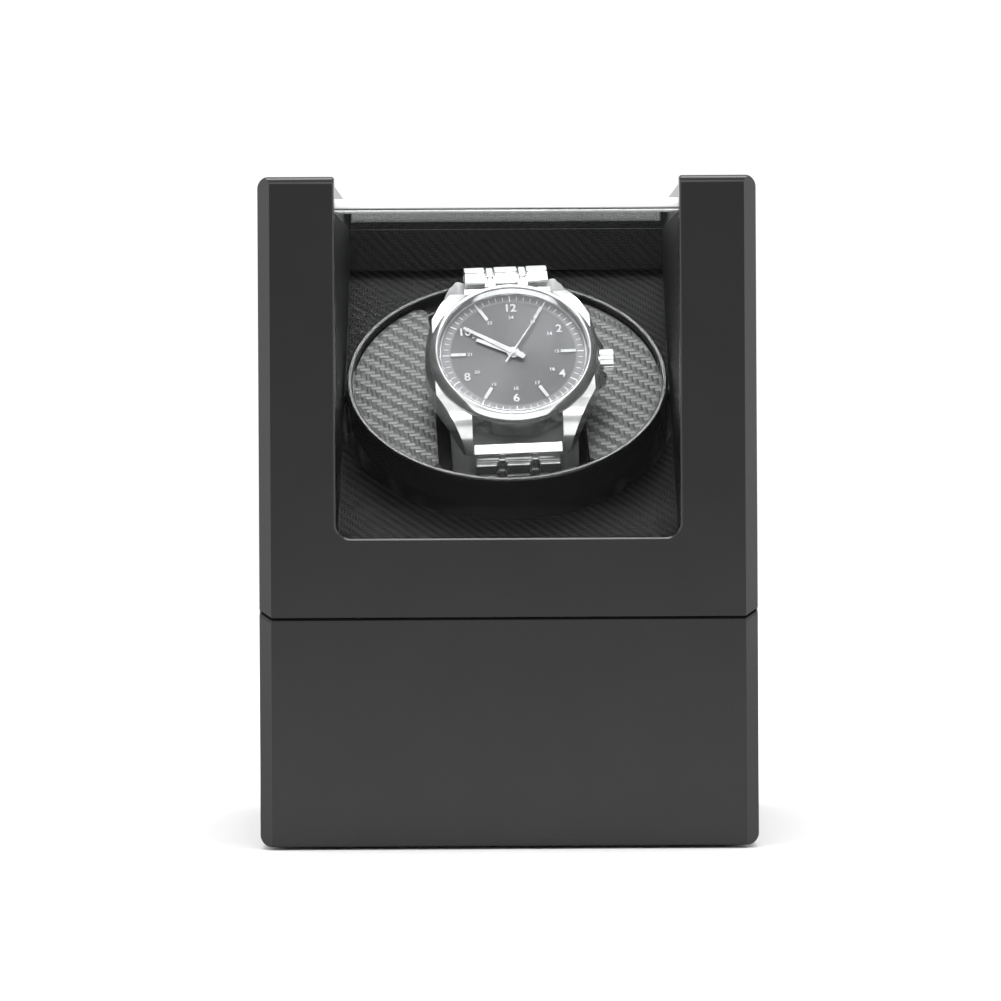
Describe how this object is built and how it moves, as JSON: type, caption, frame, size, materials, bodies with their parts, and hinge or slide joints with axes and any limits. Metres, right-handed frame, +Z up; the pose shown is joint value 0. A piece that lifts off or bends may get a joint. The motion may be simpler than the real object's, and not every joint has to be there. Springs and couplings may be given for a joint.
{
  "type": "watch winder box",
  "caption": "Single-watch winder case: inclined lacquered base and hinged lid with a bent clear window over a motor-driven rotor bowl, cushion and watch.",
  "frame": {"origin": "middle of the whole footprint, hinges included, on the surface it stands on", "axes": "+Z up, +X to the viewer's right, -Y is the front with the window"},
  "size_m": [0.126, 0.1296, 0.17],
  "materials": {
    "black_lacquer": "high gloss black lacquer",
    "black_moulding": "fine satin moulding",
    "soft_rubber": "matt",
    "dark_leather": "woven-look embossed leather, dark",
    "silver_leather": "woven-look embossed leather, silver grey",
    "bowl_black": "gloss",
    "plate_aluminium": "brushed",
    "plain_steel": "brushed",
    "bronze": "turned",
    "polished_steel": "polished",
    "watch_steel": "satin with polished edges",
    "clear_sheet": "clear acrylic",
    "watch_glass": "clear",
    "grey_dial": "sunburst grey",
    "grey_fabric": "soft woven grey",
    "board_green": "solder mask",
    "cell_wrap": "printed sleeve, plain",
    "lamp_clear": "clear light guide",
    "belt_rubber": "matt",
    "magnet_nickel": "nickel plate"
  },
  "bodies": {
    "base": {"base_casing": "black_lacquer", "base_cover": "black_moulding", "cover_screws": "plain_steel", "rubber_feet": "soft_rubber", "deck_board": "dark_leather", "bearing_plate": "plate_aluminium", "plate_posts": "plate_aluminium", "plate_screws": "plain_steel", "spindle_bush": "bronze", "drive_belt": "belt_rubber", "gear_motor": "plain_steel", "motor_screws": "plain_steel", "circuit_board": "board_green", "board_screws": "plain_steel", "switch_body": "black_moulding", "power_jack": "black_moulding", "jack_nut": "plain_steel", "indicator_lamp": "lamp_clear", "battery_box": "black_moulding", "battery_cells": "cell_wrap", "battery_contacts": "polished_steel", "hinge_base_leaves": "polished_steel", "hinge_base_screws": "plain_steel", "hinge_pins": "plain_steel", "lid_bumpers": "soft_rubber", "base_magnets": "magnet_nickel"},
    "lid": {"lid_casing": "black_lacquer", "lid_window": "clear_sheet", "lid_lining_left": "dark_leather", "lid_lining_right": "dark_leather", "lid_lining_rear": "dark_leather", "hinge_lid_leaves": "polished_steel", "hinge_lid_screws": "plain_steel", "lid_magnets": "magnet_nickel"},
    "rotor": {"rotor_bowl": "bowl_black", "rotor_facing_left": "silver_leather", "rotor_facing_right": "silver_leather", "rotor_spindle": "plain_steel", "spindle_clip": "plain_steel", "spindle_pulley": "black_moulding"},
    "motor_output": {"motor_pulley": "bronze", "motor_shaft": "plain_steel"},
    "cushion_with_watch": {"cushion": "grey_fabric", "watch_case": "watch_steel", "watch_case_back": "watch_steel", "watch_bezel": "polished_steel", "watch_crystal": "watch_glass", "watch_dial": "grey_dial", "watch_markers": "polished_steel", "watch_end_links": "watch_steel", "watch_bracelet": "watch_steel", "watch_clasp": "watch_steel"},
    "crown": {"watch_crown": "polished_steel"},
    "hour_hand": {"watch_hour_hand": "polished_steel"},
    "minute_hand": {"watch_minute_hand": "polished_steel"},
    "second_hand": {"watch_second_hand": "polished_steel"},
    "knob": {"mode_knob": "black_moulding", "knob_shaft": "plain_steel"},
    "battery_door": {"battery_door": "black_moulding"}
  },
  "joints": [
    {"name": "lid_hinge", "type": "hinge", "parent": "base", "child": "lid", "pos_m": [0, 0.0631, 0.16117], "axis": [-1, 0, 0], "range_deg": [0, 95]},
    {"name": "rotor_spin", "type": "hinge", "parent": "base", "child": "rotor", "pos_m": [0, -0.0058, 0.1197], "axis": [0, -0.6293, 0.7771], "continuous": true},
    {"name": "motor_spin", "type": "hinge", "parent": "base", "child": "motor_output", "pos_m": [0, -0.00394, 0.06973], "axis": [0, -0.6293, 0.7771], "continuous": true},
    {"name": "cushion_lift", "type": "slide", "parent": "rotor", "child": "cushion_with_watch", "axis": [0, -0.6293, 0.7771], "range_m": [0, 0.006]},
    {"name": "crown_turn", "type": "hinge", "parent": "cushion_with_watch", "child": "crown", "pos_m": [0.02553, -0.01609, 0.124], "axis": [0.9984, 0.0434, 0.0351], "continuous": true},
    {"name": "minute_hand_turn", "type": "hinge", "parent": "cushion_with_watch", "child": "minute_hand", "pos_m": [0.00165, -0.02111, 0.12584], "axis": [-0.0163, 0.8287, -0.5595], "continuous": true},
    {"name": "hour_hand_turn", "type": "hinge", "parent": "cushion_with_watch", "child": "hour_hand", "pos_m": [0.00165, -0.02111, 0.12584], "axis": [-0.0163, 0.8287, -0.5595], "continuous": true},
    {"name": "second_hand_turn", "type": "hinge", "parent": "cushion_with_watch", "child": "second_hand", "pos_m": [0.00165, -0.02111, 0.12584], "axis": [-0.0163, 0.8287, -0.5595], "continuous": true},
    {"name": "mode_knob_turn", "type": "hinge", "parent": "base", "child": "knob", "pos_m": [-0.042, 0.0592, 0.036], "axis": [0, 1, 0], "range_deg": [0, 135]},
    {"name": "battery_door_pull", "type": "slide", "parent": "base", "child": "battery_door", "axis": [0, 1, 0], "range_m": [0, 0.012]}
  ],
  "couplings": [
    {"joint": "motor_spin", "follows": "rotor_spin", "ratio": 5.2222},
    {"joint": "hour_hand_turn", "follows": "minute_hand_turn", "ratio": 0.083333}
  ]
}
